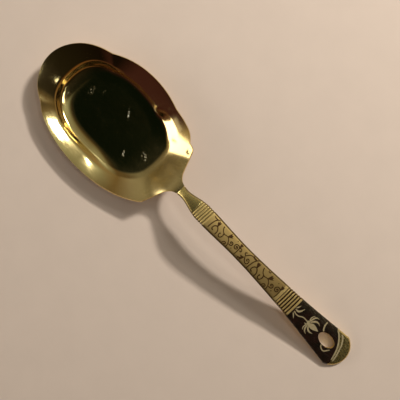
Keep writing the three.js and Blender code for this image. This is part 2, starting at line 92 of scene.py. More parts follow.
# Handle
NECK_LENGTH = 14.1
BEAD_COUNT = 5
BEAD_PITCH = 1.49
BEAD_DEPTH = 0.4
SHAFT_LENGTH = 59.1
RIDGE_COUNT = 6
RIDGE_PITCH = 1.83
RIDGE_DEPTH = 0.35
RIDGE_TOP = 0.6
RIDGE_FLANK = 0.2
PADDLE_LENGTH = 43.5
NECK_WIDTH = 5.5
NECK_WIDTH_SHARE = 0.25
BAND_WIDTH = 10.5
WAIST_WIDTH = 9.1
WAIST_SHARE = 0.42
REAR_BAND_WIDTH = 12.8
END_WIDTH = 20.8
END_WIDTH_SHARE = 0.7
END_RADIUS = 11
NOSE_THICK = 1.75
NECK_THICK = 2.9
NECK_THICK_SHARE = 0.4
BAND_THICK = 3.2
WAIST_THICK = 2.7
WAIST_THICK_SHARE = 0.26
END_THICK = 2.1
BEVEL_WIDTH = 0.8
BEVEL_DROP = 1.15
BEVEL_SOFTNESS = 0.1
ARRIS = 0.3
UNDER_ROUND = 0.4
CROWN = 0.3
NECK_HEIGHT = 16.4
CREST_HEIGHT = 21
CREST_SETBACK = 24
NECK_FALL = 0.3
END_RISE = 0.15
HOLE_LENGTH = 12.4
HOLE_WIDTH = 6.9
HOLE_SETBACK = 16.4
ENAMEL_RECESS = 0.5
FIELD_RIGHT_SETBACK = 15.8
FIELD_LEFT_SETBACK = 5.2
FIELD_BEND_SETBACK = 2
FIELD_SHARES = (-0.44, -0.22, 0.36)
FIELD_OVERRUN = 8
TANG_WIDTH = 3.6
TANG_LENGTH = 21
TANG_INSET = 0.08
TANG_OVERLAP = 1.2
POCKET_OVERRUN = 2
GAP = 0.2
SEAT = 0.02

HANDLE_LENGTH = (
    NECK_LENGTH + BEAD_COUNT * BEAD_PITCH + SHAFT_LENGTH + RIDGE_COUNT * RIDGE_PITCH + PADDLE_LENGTH
)
TIP_X = (HANDLE_LENGTH + BOWL_LENGTH) / 2
STEP_X = TIP_X - BOWL_LENGTH
END_X = STEP_X - HANDLE_LENGTH
BEADS_X = STEP_X - NECK_LENGTH
SHAFT_X = BEADS_X - BEAD_COUNT * BEAD_PITCH
RIDGES_X = SHAFT_X - SHAFT_LENGTH
PADDLE_X = RIDGES_X - RIDGE_COUNT * RIDGE_PITCH
CREST_X = STEP_X - CREST_SETBACK
HOLE_X = END_X + HOLE_SETBACK
NOSE_X = STEP_X - SHEET * NECK_FALL / math.hypot(1, NECK_FALL) - GAP
OVAL_LENGTH = BOWL_LENGTH + OVAL_OVERRUN
OVAL_X = TIP_X - OVAL_LENGTH / 2
FLOOR_LENGTH = BOWL_LENGTH - NECK_WALL - TIP_WALL
FLOOR_X = STEP_X + NECK_WALL + FLOOR_LENGTH / 2
NECK_RIM = NECK_HEIGHT + SHEET * math.hypot(1, NECK_FALL)


# Curves and runs

CURVE_POINTS = 60


def smoothstep(value, low, high):
    t = np.clip((np.asarray(value, float) - low) / (high - low), 0, 1)
    return t * t * (3 - 2 * t)


def through(knots):
    """A smooth run of values through knots, without overshoot between them."""
    rows = np.array(sorted(knots), float)
    xs, ys = rows[:, 0], rows[:, 1]
    rise = np.diff(ys) / np.diff(xs)
    before = np.concatenate([rise[:1], rise])
    after = np.concatenate([rise, rise[-1:]])
    same = before * after > 0
    slope = np.where(same, 2 * before * after / np.where(same, before + after, 1), 0)

    def run(x):
        x = np.asarray(x, float)
        i = np.clip(np.searchsorted(xs, x, side="right") - 1, 0, len(xs) - 2)
        span = xs[i + 1] - xs[i]
        t = np.clip((x - xs[i]) / span, 0, 1)
        ease = t * t * (3 - 2 * t)
        bend = slope[i] * t * (1 - t) ** 2 - slope[i + 1] * t * t * (1 - t)
        return ys[i] + (ys[i + 1] - ys[i]) * ease + span * bend

    return run


def spline(points, step=0.3):
    """A Catmull-Rom curve through a few points, with a point about every step."""
    p = np.array(points, float)
    p = np.vstack([2 * p[0] - p[1], p, 2 * p[-1] - p[-2]])
    out = []
    for a, b, c, d in zip(p, p[1:], p[2:], p[3:]):
        count = max(2, int(np.linalg.norm(c - b) / step) + 1)
        t = np.linspace(0, 1, count, endpoint=False)[:, None]
        square, cube = 2 * a - 5 * b + 4 * c - d, 3 * b - a - 3 * c + d
        out.append(0.5 * (2 * b + (c - a) * t + square * t**2 + cube * t**3))
    return np.vstack([*out, p[-2:-1]])


# The handle's surfaces over its plan: x along the underside, y across

def arch(x):
    """Height and slope of the handle's underside."""
    x = np.asarray(x, float)
    low = x < CREST_X
    x0, x1 = np.where(low, END_X, CREST_X), np.where(low, CREST_X, STEP_X)
    z0, z1 = np.where(low, 0, CREST_HEIGHT), np.where(low, CREST_HEIGHT, NECK_HEIGHT)
    m0, m1 = np.where(low, END_RISE, 0), np.where(low, 0, -NECK_FALL)
    span = x1 - x0
    t = (x - x0) / span
    z = z0 + (z1 - z0) * t * t * (3 - 2 * t) + span * (m0 * t * (1 - t) ** 2 - m1 * t * t * (1 - t))
    slope = 6 * (z1 - z0) * t * (1 - t) / span + m0 * (1 - t) * (1 - 3 * t) + m1 * t * (3 * t - 2)
    beyond = x >= STEP_X
    return np.where(beyond, NECK_HEIGHT - NECK_FALL * (x - STEP_X), z), np.where(beyond, -NECK_FALL, slope)


def on_handle(x, y, h):
    """Points a height above the underside, square to it."""
    z, slope = arch(x)
    run = np.hypot(1, slope)
    return np.stack([x - slope * h / run, y + 0 * x, z + h / run], -1)


half_width_run = through([
    (STEP_X, STEP_WIDTH / 2),
    (STEP_X - NECK_WIDTH_SHARE * NECK_LENGTH, NECK_WIDTH / 2),
    ((BEADS_X + SHAFT_X) / 2, BAND_WIDTH / 2),
    (SHAFT_X - WAIST_SHARE * SHAFT_LENGTH, WAIST_WIDTH / 2),
    ((RIDGES_X + PADDLE_X) / 2, REAR_BAND_WIDTH / 2),
    (END_X + END_WIDTH_SHARE * END_RADIUS, END_WIDTH / 2),
])
thick_run = through([
    (STEP_X, NOSE_THICK),
    (STEP_X - NECK_THICK_SHARE * NECK_LENGTH, NECK_THICK),
    ((BEADS_X + SHAFT_X) / 2, BAND_THICK),
    (SHAFT_X - WAIST_THICK_SHARE * SHAFT_LENGTH, WAIST_THICK),
    (END_X, END_THICK),
])


def groove(x):
    """Groove depth: round beads in front, square ridges behind."""
    x = np.asarray(x, float)
    beads = BEAD_DEPTH * (1 - np.abs(np.sin(np.pi * (BEADS_X - x) / BEAD_PITCH)))
    part = np.abs((RIDGES_X - x) / RIDGE_PITCH % 1 - 0.5) * RIDGE_PITCH
    ridges = RIDGE_DEPTH * smoothstep(part, RIDGE_TOP / 2, RIDGE_TOP / 2 + RIDGE_FLANK)
    on_beads = (x <= BEADS_X + BEAD_PITCH / 2) & (x >= SHAFT_X - BEAD_PITCH / 2)
    on_ridges = (x <= RIDGES_X) & (x >= PADDLE_X + RIDGE_PITCH / 2)
    return np.where(on_beads, beads, np.where(on_ridges, ridges, 0))


def half_width(x):
    """Half the plan width: the flare, or the end's half round where that is narrower."""
    out = np.maximum(0, END_X + END_RADIUS - x)
    return np.minimum(half_width_run(x), np.sqrt(np.maximum(0, END_RADIUS**2 - out**2)))


def edge_distance(x, y):
    side = half_width_run(x) - np.abs(y)
    end = END_RADIUS - np.hypot(np.minimum(0, x - END_X - END_RADIUS), y)
    return np.where(x < END_X + END_RADIUS, np.minimum(side, end), side)


def quarter_round(distance, radius):
    """How far a rounded edge falls, by the distance from it."""
    t = np.clip(1 - distance / radius, 0, 1)
    return radius * (1 - np.sqrt(1 - t * t))


def top_height(x, y):
    """The handle's upper surface: crowned, with a soft-edged bevel and a small arris."""
    dip = groove(x)
    near = np.maximum(edge_distance(x, y), 0)
    slope = (BEVEL_DROP - CROWN - ARRIS / 2) / BEVEL_WIDTH
    inside = (BEVEL_WIDTH - near) / BEVEL_SOFTNESS
    bevel = slope * BEVEL_SOFTNESS * np.logaddexp(0, inside)
    crown = CROWN * (y / half_width_run(x)) ** 2
    return thick_run(x) - dip - crown - bevel - quarter_round(near, ARRIS) / 2


def under_height(x, y):
    return quarter_round(np.maximum(edge_distance(x, y), 0), UNDER_ROUND)


def plan_to_run(points):
    """Turns points as seen from above into the handle's own run, on its upper surface."""
    p = np.array(points, float)
    x = p[:, 0].copy()
    for _ in range(3):
        _, slope = arch(x)
        x = p[:, 0] + slope * thick_run(x) / np.hypot(1, slope)
    return np.stack([x, p[:, 1]], -1)


# Meshes

def show(name, data):
    made = bpy.data.objects.new(name, data)
    bpy.context.scene.collection.objects.link(made)
    return made


def make_object(name, points, faces, smooth_angle=40):
    mesh = bpy.data.meshes.new(name)
    mesh.from_pydata(np.asarray(points) * MM, [], faces)
    mesh.validate()
    mesh.shade_smooth()
    mesh.set_sharp_from_angle(angle=math.radians(smooth_angle))
    piece = show(name, mesh)
    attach(piece, "root")
    return piece


def set_attribute(piece, name, values):
    made = piece.data.attributes.new(name, "FLOAT", "POINT")
    made.data.foreach_set("value", np.asarray(values, np.float32))


def face_up(plan, tris):
    """The triangles, each turned to face up."""
    out = []
    for a, b, c in tris:
        u, v = plan[b] - plan[a], plan[c] - plan[a]
        out.append([a, b, c] if u[0] * v[1] > u[1] * v[0] else [a, c, b])
    return out


def triangulate(loops, points):
    """Triangles over closed plan loops and loose points, with the loops that hold each one."""
    coords = []
    faces = []
    for loop in loops:
        x, y = np.asarray(loop).T
        if np.dot(x, np.roll(y, -1)) < np.dot(y, np.roll(x, -1)):
            loop = loop[::-1]
        faces.append(list(range(len(coords), len(coords) + len(loop))))
        coords.extend(Vector(p) for p in loop)
    coords.extend(Vector(p) for p in points)
    verts, _, tris, _, _, owners = delaunay_2d_cdt(coords, [], faces, 0, 1e-5)
    plan = np.array(verts)
    return plan, face_up(plan, tris), [set(o) for o in owners]


def slab(name, plan, tris, levels, top, under):
    """A closed solid between two height fields; a level may lift or sink either one."""
    copies = {}
    points = []
    stacks = {}
    faces = []
    edges = {}

    def corner(v, side, level):
        key = (v, side, level)
        if key not in copies:
            height = (top if side else under)(*plan[v], level)
            copies[key] = len(points)
            points.append((*plan[v], height))
            stacks.setdefault(v, []).append((height, copies[key]))
        return copies[key]

    for tri, (low, high) in zip(tris, levels):
        faces.append([corner(v, 1, high) for v in tri])
        faces.append([corner(v, 0, low) for v in reversed(tri)])
        for a, b in zip(tri, tri[1:] + tri[:1]):
            edges[a, b] = (low, high)

    def column(v, start, end):
        return [i for h, i in sorted(stacks[v]) if points[start][2] < h < points[end][2]]

    for (a, b), (low, high) in edges.items():
        other = edges.get((b, a))
        if other is None:
            a0, a1, b0, b1 = corner(a, 0, low), corner(a, 1, high), corner(b, 0, low), corner(b, 1, high)
            faces.append([a0, b0, *column(b, b0, b1), b1, a1, *reversed(column(a, a0, a1))])
            continue
        for side, here, there, (v, w) in ((1, high, other[1], (b, a)), (0, low, other[0], (a, b))):
            if there < here:
                upper = [corner(v, side, here), corner(w, side, here)]
                faces.append([*upper, corner(w, side, there), corner(v, side, there)])
    p = np.array(points)
    return make_object(name, on_handle(*p.T), faces), p


def layer(name, plan, tris, low, high, base=top_height):
    """A slab between two levels over one height field."""
    def height(x, y, level):
        return float(base(x, y)) + level

    return slab(name, plan, tris, [(low, high)] * len(tris), height, height)


# Bowl

def rim_table(side):
    """Direction, reach and crease of the lobed oval on one side, as seen from the floor's centre."""
    angle = np.linspace(0, 180, 1801)
    notch, crease = 0 * angle, 0 * angle
    for middle, spread, rim_depth, floor_depth in CREASES_RIGHT if side < 0 else CREASES_LEFT:
        away = np.sqrt((angle - middle) ** 2 + CREASE_SOFTNESS**2) - CREASE_SOFTNESS
        near = np.maximum(0, 1 - away / spread) ** 2
        notch += rim_depth * near
        crease += floor_depth * near
    turn = np.radians(angle)
    a, b = OVAL_LENGTH / 2, BOWL_WIDTH / 2
    out = np.stack([np.cos(turn) / a, np.sin(turn) / b], -1)
    out /= np.linalg.norm(out, axis=1)[:, None]
    rim = np.stack([OVAL_X + a * np.cos(turn), b * np.sin(turn)], -1) - out * notch[:, None]
    away = rim - (FLOOR_X, 0)
    return {
        "angle": angle,
        "direction": np.degrees(np.arctan2(away[:, 1], away[:, 0])),
        "reach": np.hypot(away[:, 0], away[:, 1]),
        "crease": crease,
        "rim": rim,
    }


def rim_outline(side):
    """The cut edge of one side, from the tip to the middle of the step."""
    table = rim_table(side)
    shoulder = math.degrees(math.acos((STEP_X + SHOULDER_SETBACK - OVAL_X) / (OVAL_LENGTH / 2)))
    rim = table["rim"][table["angle"] <= shoulder]
    bend = np.array([STEP_X + SHOULDER_LINE_END[0], SHOULDER_LINE_END[1]])
    step = np.array([STEP_X, STEP_WIDTH / 2])
    pull, lift = SHOULDER_FILLET_PULL
    turn = np.array([STEP_X + pull * SHOULDER_LINE_END[0], STEP_WIDTH / 2 + lift])
    t = np.linspace(0, 1, CURVE_POINTS)[:, None]
    fillet = (1 - t) ** 2 * bend + 2 * t * (1 - t) * turn + t * t * step
    line = rim[-1] + (bend - rim[-1]) * np.linspace(0, 1, CURVE_POINTS)[1:-1, None]
    return np.vstack([rim, line, fillet, [[STEP_X, 0]]])


def even_steps(points, step):
    """The same line with its points a step apart."""
    length = np.concatenate([[0], np.cumsum(np.linalg.norm(np.diff(points, axis=0), axis=1))])
    at = np.linspace(0, length[-1], int(length[-1] / step) + 1)
    return np.stack([np.interp(at, length, points[:, i]) for i in (0, 1)], -1)


RUN = np.linspace(0, 1, 401)


def risen(slope):
    """The share of a whole rise that is reached along a run with these slopes."""
    rise = np.concatenate([[0], np.cumsum((slope[1:] + slope[:-1]) / 2)])
    return rise / rise[-1]


def lobe_rise(foot, wall, start, full, lip, flare):
    """A foot fillet, a steep wall and a lip that flattens towards its edge."""
    steep = FOOT_SLOPE + (wall - FOOT_SLOPE) * smoothstep(RUN, 0, foot)
    to_lip = (lip + flare - wall) * smoothstep(RUN, start, full)
    return risen(steep + to_lip - 2 * flare * np.maximum(0, (RUN - full) / (1 - full)))


TIP_RISE = lobe_rise(*PROFILE_TIP)
LEFT_RISE = lobe_rise(*PROFILE_LEFT)
RIGHT_RISE = lobe_rise(*PROFILE_RIGHT)
SHOULDER_RISE = lobe_rise(*PROFILE_SHOULDER)
RAMP_SLOPE = RAMP_START + (1 - RAMP_START) * smoothstep(RUN, 0, RAMP_FOOT)
RAMP_RISE = risen(RAMP_SLOPE)
NECK_RISE = risen(RAMP_SLOPE - RAMP_EASE * smoothstep(RUN, RAMP_CREST, 1))


def rim_height(x):
    tip = (TIP_HEIGHT - SIDE_HEIGHT) * (np.maximum(0, x - OVAL_X) / (TIP_X - OVAL_X)) ** 2
    neck = (NECK_RIM - SIDE_HEIGHT) * (np.maximum(0, OVAL_X - x) / (OVAL_X - STEP_X)) ** 4
    return SIDE_HEIGHT + tip + neck


def ramp_share(direction, side):
    return smoothstep(direction, *(RAMP_RIGHT if side < 0 else RAMP_LEFT))


def wall_share(q, direction, side):
    """The share of the wall's rise: a lobed wall, a straight ramp behind it and an eased one at the neck."""
    front, back = (RIGHT_RISE, SHOULDER_RISE) if side < 0 else (LEFT_RISE, LEFT_RISE)
    tip, lobe, shoulder, ramp, neck = (
        np.interp(q, RUN, rise) for rise in (TIP_RISE, front, back, RAMP_RISE, NECK_RISE)
    )
    lobe += smoothstep(direction, *SHOULDER_TURN) * (shoulder - lobe)
    lobe = tip + smoothstep(direction, *LOBE_TURN) * (lobe - tip)
    ramp += smoothstep(direction, *RAMP_NECK) * (neck - ramp)
    return lobe + ramp_share(direction, side) * (ramp - lobe)


def floor_reach(unit, side):
    """From the floor's centre to its edge, a squarish oval."""
    half = BOWL_WIDTH / 2 - (RIGHT_WALL if side < 0 else LEFT_WALL)
    shares = np.abs(unit / (FLOOR_LENGTH / 2, half)) ** FLOOR_SQUARENESS
    return shares.sum(axis=1) ** (-1 / FLOOR_SQUARENESS)


RIM_STEP = 0.55
EDGE_BULGE = 0.05
FLOOR_RINGS = np.concatenate([
    np.linspace(0.04, PAD_SHARE, 24, endpoint=False),
    np.linspace(PAD_SHARE, 1, 16),
])
WALL_RINGS = np.linspace(0, 1, 40)[1:]
EDGE_TURNS = np.radians([30, 60, 90, 120, 150])
EDGE_BULGE_START = 3
ROUND_PASSES_RIGHT = 2
ROUND_PASSES_LEFT = 4
BOWL_SMOOTH_ANGLE = 50

# A small dent in the right ear
DIMPLE_PLACE = (27, -18)
DIMPLE_RADIUS = 1.7
DIMPLE_DEPTH = 0.35


def bowl_rays(outline, side):
    """The upper surface along rays from the floor's centre to the cut edge."""
    table = rim_table(side)
    away = outline - (FLOOR_X, 0)
    far = np.linalg.norm(away, axis=1)[:, None]
    direction = np.degrees(np.arctan2(away[:, 1], away[:, 0]))[:, None]
    unit = away / far
    reach = np.interp(direction, table["direction"], table["reach"])
    edge = floor_reach(unit, side)[:, None] - np.interp(direction, table["direction"], table["crease"])
    high = rim_height(FLOOR_X + unit[:, :1] * reach)
    rise = np.clip((FLOOR_RINGS - PAD_SHARE) / (1 - PAD_SHARE), 0, 1)
    q = WALL_RINGS * (far - edge) / (reach - edge)
    dish = FLOOR_DISH * (1 - RAMP_FLATNESS * ramp_share(direction, side))
    foot = SHEET + dish
    r = np.hstack([edge * FLOOR_RINGS, edge + (reach - edge) * q])
    z = np.hstack([SHEET + dish * rise**2, foot + (high - foot) * wall_share(q, direction, side)])
    x, y = FLOOR_X + unit[:, :1] * r, side * unit[:, 1:] * r
    away = np.hypot(x - DIMPLE_PLACE[0], y - DIMPLE_PLACE[1]) / DIMPLE_RADIUS
    z = z - DIMPLE_DEPTH * np.maximum(0, 1 - away**2) ** 2
    return np.stack([x, y, z], -1)


def round_corners(outline, passes):
    """The outline with its corners eased a little by each pass."""
    for _ in range(passes):
        outline[1:-1] = (outline[:-2] + 2 * outline[1:-1] + outline[2:]) / 4
    return outline


def make_bowl():
    right = bowl_rays(round_corners(even_steps(rim_outline(-1), RIM_STEP), ROUND_PASSES_RIGHT), -1)
    left = bowl_rays(round_corners(even_steps(rim_outline(1), RIM_STEP), ROUND_PASSES_LEFT), 1)
    rays = np.vstack([right, left[-2:0:-1]])
    count = len(rays)
    across = np.roll(rays, -1, axis=0) - np.roll(rays, 1, axis=0)
    outward = np.gradient(rays, axis=1)
    normal = np.cross(outward, across)
    normal /= np.linalg.norm(normal, axis=2)[..., None]
    normal *= np.sign(normal[..., 2:])
    lower = rays - SHEET * normal
    rim_out = outward[:, -1] / np.linalg.norm(outward[:, -1], axis=1)[:, None]
    bulge = EDGE_BULGE * smoothstep(rays[:, -1, 0] - STEP_X, 0, EDGE_BULGE_START)[:, None]
    middle = rays[:, -1] - normal[:, -1] * SHEET / 2
    half = normal[:, -1] * SHEET / 2
    edge = [middle + half * math.cos(t) + rim_out * bulge * math.sin(t) for t in EDGE_TURNS]
    rows = [*np.swapaxes(rays, 0, 1), *edge, *np.swapaxes(lower, 0, 1)[::-1]]
    points = np.vstack([[(FLOOR_X, 0, SHEET)], *rows, [(FLOOR_X, 0, 0)]])
    faces = []
    last = len(points) - 1
    for i in range(count):
        j = (i + 1) % count
        faces.append([0, 1 + j, 1 + i])
        faces.append([last, last - count + i, last - count + j])
        for row in range(len(rows) - 1):
            a, b = 1 + row * count, 1 + (row + 1) * count
            faces.append([a + i, a + j, b + j, b + i])
    return make_object("bowl_sheet", points, faces, BOWL_SMOOTH_ANGLE)


TANG_STEPS = 160


def tang_plan(half, x0, x1):
    """A strip with a half-round rear end, in plan."""
    turn = np.radians(np.linspace(90, 270, 17))
    round_end = np.stack([x1 + half + half * np.cos(turn), half * np.sin(turn)], -1)
    side = np.linspace(x0, x1 + half, TANG_STEPS, endpoint=False)
    return np.vstack([
        np.stack([side, np.full_like(side, half)], -1),
        round_end,
        np.stack([side, np.full_like(side, -half)], -1)[::-1],
    ])


def make_tang():
    plan, tris, _ = triangulate([tang_plan(TANG_WIDTH / 2, STEP_X + TANG_OVERLAP, STEP_X - TANG_LENGTH)], [])
    return layer("bowl_tang", plan, tris, TANG_INSET, SHEET - TANG_INSET, lambda x, y: 0)[0]


# Handle

BEAD_SLICES = 12
RIDGE_SLICES = 18
NECK_SLICES = 24
SHAFT_SLICES = 90
PADDLE_SLICES = 60
RIDGE_MARGIN = 0.5
ROUND_START = 0.75


def stations():
    """Places along the handle, close together on the two bands."""
    bead = np.arange(BEADS_X + BEAD_PITCH, SHAFT_X - BEAD_PITCH, -BEAD_PITCH / BEAD_SLICES)
    ridge = np.arange(RIDGES_X + RIDGE_MARGIN, PADDLE_X - RIDGE_MARGIN, -RIDGE_PITCH / RIDGE_SLICES)
    return np.concatenate([
        np.linspace(NOSE_X, bead[0], NECK_SLICES, endpoint=False),
        bead,
        np.linspace(bead[-1], ridge[0], SHAFT_SLICES)[1:-1],
        ridge,
        np.linspace(ridge[-1], END_X + ROUND_START * END_RADIUS, PADDLE_SLICES)[1:],
    ])


HANDLE_X = stations()
INSET = (0.05, 0.12, 0.2, 0.32, 0.5, 0.7, 0.88, 1.0, 1.08, 1.16, 1.26, 1.45, 1.8)
COLUMNS = 13
COLUMN_LEAST = 0.4
END_GRID = 0.8
END_GRID_MARGIN = 2.2
OUTLINE_CLEARANCE = 0.04
NOSE_CLEARANCE = 0.05
LOOP_CLEARANCE = 0.12
ROUND_TURN = np.linspace(0, 1, 61)
HOLE_POINTS = 96
FIELD_STEP = 0.3
FIELD_MARGIN = 1


def round_end(inset):
    """The end's arc, a distance inside the outline, from left to right."""
    centre = END_X + END_RADIUS
    x = HANDLE_X[-1]
    start = math.acos((x - centre) / END_RADIUS)
    turn = start + (2 * math.pi - 2 * start) * ROUND_TURN
    r = END_RADIUS - inset
    return np.stack([centre + r * np.cos(turn), r * np.sin(turn)], -1)


def handle_outline():
    w = half_width(HANDLE_X) - groove(HANDLE_X)
    left = np.stack([HANDLE_X, w], -1)
    right = left[::-1] * (1, -1)
    return np.vstack([left, round_end(0)[1:-1], right])


def handle_points():
    """Loose plan points: rows beside the edges and even columns between them."""
    w = half_width(HANDLE_X) - groove(HANDLE_X)
    rows = [round_end(d)[2:-2] for d in INSET]
    for d in INSET:
        for side in (-1, 1):
            rows.append(np.stack([HANDLE_X, side * (w - d)], -1))
    inner = half_width(HANDLE_X) - BEAD_DEPTH - INSET[-1]
    for share in np.linspace(-1, 1, COLUMNS):
        rows.append(np.stack([HANDLE_X, share * inner], -1)[inner > COLUMN_LEAST])
    end = END_X + END_RADIUS
    for r in np.arange(1, END_RADIUS - END_GRID_MARGIN, END_GRID):
        turn = np.arange(np.pi / 2, 1.5 * np.pi, END_GRID / r)
        rows.append(np.stack([end + r * np.cos(turn), r * np.sin(turn)], -1))
    p = np.vstack(rows)
    inside = edge_distance(*p.T) > OUTLINE_CLEARANCE
    return p[inside & (p[:, 0] < NOSE_X - NOSE_CLEARANCE)]


def clear_of(points, loops, least):
    """The points that lie no closer than a distance to any loop."""
    marks = np.vstack([even_steps(np.vstack([loop, loop[:1]]), least / 2) for loop in loops])
    tree = KDTree(len(marks))
    for i, p in enumerate(marks):
        tree.insert((*p, 0), i)
    tree.balance()
    return np.array([p for p in points if tree.find((*p, 0))[2] > least])


def hole_loop(margin):
    turn = np.linspace(0, 2 * np.pi, HOLE_POINTS, endpoint=False)
    _, slope = arch(HOLE_X)
    half = (HOLE_LENGTH / 2 + margin) / math.hypot(1, slope)
    return np.stack([HOLE_X + half * np.cos(turn), (HOLE_WIDTH / 2 + margin) * np.sin(turn)], -1)


def field_curve(setback=0):
    """The enamel's rear border as seen from above, right to left."""
    right, bend, left = (share * END_WIDTH for share in FIELD_SHARES)
    start = np.array([END_X + FIELD_RIGHT_SETBACK - setback, right])
    middle = np.array([END_X + FIELD_LEFT_SETBACK + FIELD_BEND_SETBACK - setback, bend])
    stop = np.array([END_X + FIELD_LEFT_SETBACK - setback, left])
    t = np.linspace(0, 1, CURVE_POINTS)[:, None]
    return (1 - t) ** 2 * start + 2 * t * (1 - t) * middle + t * t * stop


def field_loop(inset):
    """The recess for the enamel in plan, run out past the handle's edges."""
    curve = plan_to_run(field_curve(GAP) + (inset, 0))
    front = PADDLE_X + GAP - inset
    wide = END_WIDTH
    first = curve[0] + (FIELD_OVERRUN, -wide - FIELD_SHARES[0] * END_WIDTH)
    ring = np.vstack([curve, [curve[-1][0], wide], [front, wide], [front, -wide], first, curve[0]])
    return even_steps(ring, FIELD_STEP)[:-1]


def make_handle():
    loops = [
        handle_outline(),
        hole_loop(0),
        field_loop(0),
        tang_plan(TANG_WIDTH / 2 + GAP, NOSE_X + POCKET_OVERRUN, STEP_X - TANG_LENGTH - GAP),
    ]
    points = clear_of(handle_points(), loops[1:], LOOP_CLEARANCE)
    points = points[np.hypot((points[:, 0] - HOLE_X) / HOLE_LENGTH, points[:, 1] / HOLE_WIDTH) > 0.5]
    plan, tris, owners = triangulate(loops, points)
    kept = [(t, o) for t, o in zip(tris, owners) if 0 in o and 1 not in o]
    levels = [(int(3 in o), -int(2 in o)) for _, o in kept]
    pocket = SHEET - TANG_INSET + GAP

    def top(x, y, level):
        return float(top_height(x, y)) + level * ENAMEL_RECESS

    def under(x, y, level):
        return pocket if level else float(under_height(x, y))

    return slab("handle_bar", plan, [t for t, _ in kept], levels, top, under)


def make_enamel():
    loops = [handle_outline(), hole_loop(SEAT), field_loop(SEAT)]
    points = handle_points()
    points = clear_of(points[points[:, 0] < PADDLE_X + FIELD_MARGIN], loops[1:], LOOP_CLEARANCE)
    plan, tris, owners = triangulate(loops, points)
    kept = [t for t, o in zip(tris, owners) if o >= {0, 2} and 1 not in o]
    return layer("enamel_field", plan, kept, SEAT - ENAMEL_RECESS, 0)


# Ornament: flat shapes drawn as seen from above and laid on the handle

DRAWN_HOLE_X = -103.625
ORNAMENT_SHIFT = HOLE_X - DRAWN_HOLE_X
INLAY_PROUD = 0.035
INLAY_SUNK = 0.06
INLAY_STEP = 0.22
STROKE_SHARES = (0, 0.15, 0.8, 1)
LEAF_SKEW = 0.75
LEAF_POINT = 0.05
DOT_POINTS = 18
SPIRAL_POINTS = 14
BUD_OUTLINE = ((0, 0.12), (0.3, 0.3), (0.62, 0.48), (1.0, 0.55), (0.78, 0.24), (1.06, 0.0))


def inlay(name, shapes):
    """One closed thin piece from overlapping plan shapes, laid on the handle's upper surface."""
    drawn = [s + (ORNAMENT_SHIFT, 0) for s in shapes]
    loops = [plan_to_run(even_steps(np.vstack([s, s[:1]]), INLAY_STEP)[:-1]) for s in drawn]
    plan, tris, owners = triangulate(loops, [])
    kept = [t for t, o in zip(tris, owners) if o]
    return layer(name, plan, kept, -INLAY_SUNK, INLAY_PROUD)[0]


def ribbon(points, half_at):
    """A shape along a curve, with its half width by the share of the curve."""
    line = spline(points)
    along = np.gradient(line, axis=0)
    along /= np.linalg.norm(along, axis=1)[:, None]
    side = np.stack([-along[:, 1], along[:, 0]], -1)
    half = half_at(np.linspace(0, 1, len(line)))[:, None]
    return np.vstack([line + side * half, (line - side * half)[::-1]])


def stroke(points, start, middle, end):
    """A line along a curve, with its width at the start, in the middle and at the end."""
    return ribbon(points, lambda t: np.interp(t, STROKE_SHARES, [start, middle, middle, end]) / 2)


def leaf(points, width):
    """A pointed leaf along a curve, widest before its middle."""
    return ribbon(points, lambda t: width / 2 * np.sin(np.pi * t**LEAF_SKEW) + LEAF_POINT)


def dot(x, y, radius):
    turn = np.linspace(0, 2 * np.pi, DOT_POINTS, endpoint=False)
    return np.stack([x + radius * np.cos(turn), y + radius * np.sin(turn)], -1)


def spiral(x, y, outer, inner, start, turns):
    """Points that wind in towards a centre; a negative turn winds clockwise."""
    t = np.linspace(0, 1, SPIRAL_POINTS)
    r = outer + (inner - outer) * t
    angle = math.radians(start) + 2 * math.pi * turns * t
    return np.stack([x + r * np.cos(angle), y + r * np.sin(angle)], -1)


def bud(base, tip, width):
    """A tulip bud with three points."""
    base, tip = np.array(base, float), np.array(tip, float)
    along = (tip - base) / np.linalg.norm(tip - base)
    side = np.array([-along[1], along[0]])
    length = np.linalg.norm(tip - base)
    mirrored = [(t, -w) for t, w in reversed(BUD_OUTLINE[:-1])]
    return np.array([base + along * length * t + side * width * w for t, w in [*BUD_OUTLINE, *mirrored]])


VINE_LINE = 0.6


